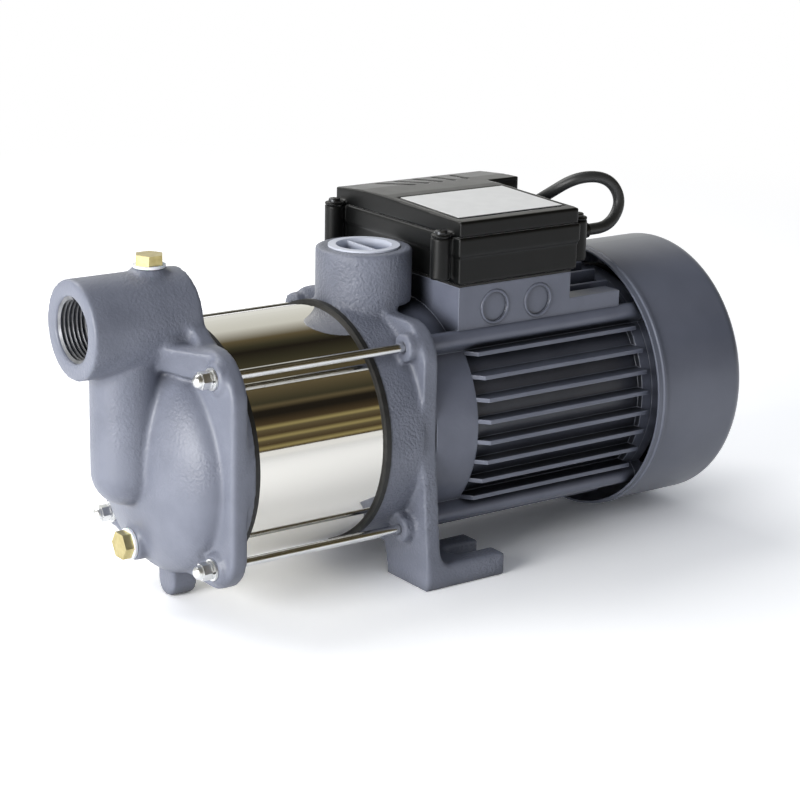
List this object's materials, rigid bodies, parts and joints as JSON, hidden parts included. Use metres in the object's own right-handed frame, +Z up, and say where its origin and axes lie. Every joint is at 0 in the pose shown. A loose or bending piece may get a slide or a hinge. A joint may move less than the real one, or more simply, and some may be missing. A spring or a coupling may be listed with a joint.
{
  "type": "horizontal multistage pump",
  "caption": "Horizontal multistage centrifugal water pump, close-coupled to a finned electric motor, with a stainless shell, tie rods, terminal box, power cord and plug.",
  "frame": {"origin": "on the floor, midway between the closed ends of the two foot slots, under the shaft axis", "axes": "+X along the shaft from the suction port towards the fan, +Y to the far side in the picture, +Z up"},
  "size_m": [0.3842, 0.2818, 0.1998],
  "materials": {
    "iron_paint": "satin blue-grey paint over the sand-cast skin",
    "motor_paint": "satin dark blue-grey paint",
    "cover_paint": "satin blue-grey paint",
    "polished_steel": "polished stainless steel",
    "steel": "zinc-plated or bright steel",
    "bronze": "pale brass",
    "white_plastic": "natural white plastic",
    "black_plastic": "matte black plastic",
    "black_rubber": "matte black rubber",
    "ceramic": "off-white ceramic",
    "label_film": "bare silver-grey film"
  },
  "bodies": {
    "pump": {"suction_cover": "iron_paint", "front_gasket": "black_rubber", "pump_shell": "polished_steel", "rear_gasket": "black_rubber", "bracket": "iron_paint", "tie_rods": "steel", "flat_washers": "steel", "spring_washers": "steel", "acorn_nuts": "steel", "priming_plug": "bronze", "drain_plug": "bronze", "plug_washers": "white_plastic", "stage_casings": "steel", "diffusers": "white_plastic", "seal_seat": "ceramic", "motor_housing": "motor_paint", "stator_core": "steel", "windings": "bronze", "front_bearing_outer": "steel", "rear_bearing_outer": "steel", "wave_washer": "steel", "rear_shield": "motor_paint", "through_bolts": "steel", "fan_cover": "cover_paint", "cover_screws": "steel", "box_gasket": "black_rubber", "box_base": "black_plastic", "box_lid": "black_plastic", "lid_screws": "steel", "rating_label": "label_film", "capacitor": "black_plastic", "terminal_block": "white_plastic", "earth_screw": "steel", "cable_gland": "black_plastic", "power_cord": "black_rubber", "cord_coil": "black_rubber", "plug": "black_plastic", "plug_pins": "steel"},
    "rotor": {"shaft": "steel", "impellers": "bronze", "spacer_sleeves": "steel", "impeller_nut": "steel", "nut_washer": "steel", "seal_head": "black_rubber", "rotor_core": "steel", "bearing_inners": "steel", "cooling_fan": "black_plastic", "fan_clip": "steel"},
    "cap": {"port_cap": "white_plastic"}
  },
  "joints": [
    {"name": "rotor_spin", "type": "hinge", "parent": "pump", "child": "rotor", "pos_m": [0, 0, 0.08], "axis": [1, 0, 0], "continuous": true},
    {"name": "cap_lift", "type": "slide", "parent": "pump", "child": "cap", "axis": [0, 0, 1], "range_m": [0, 0.04]}
  ]
}
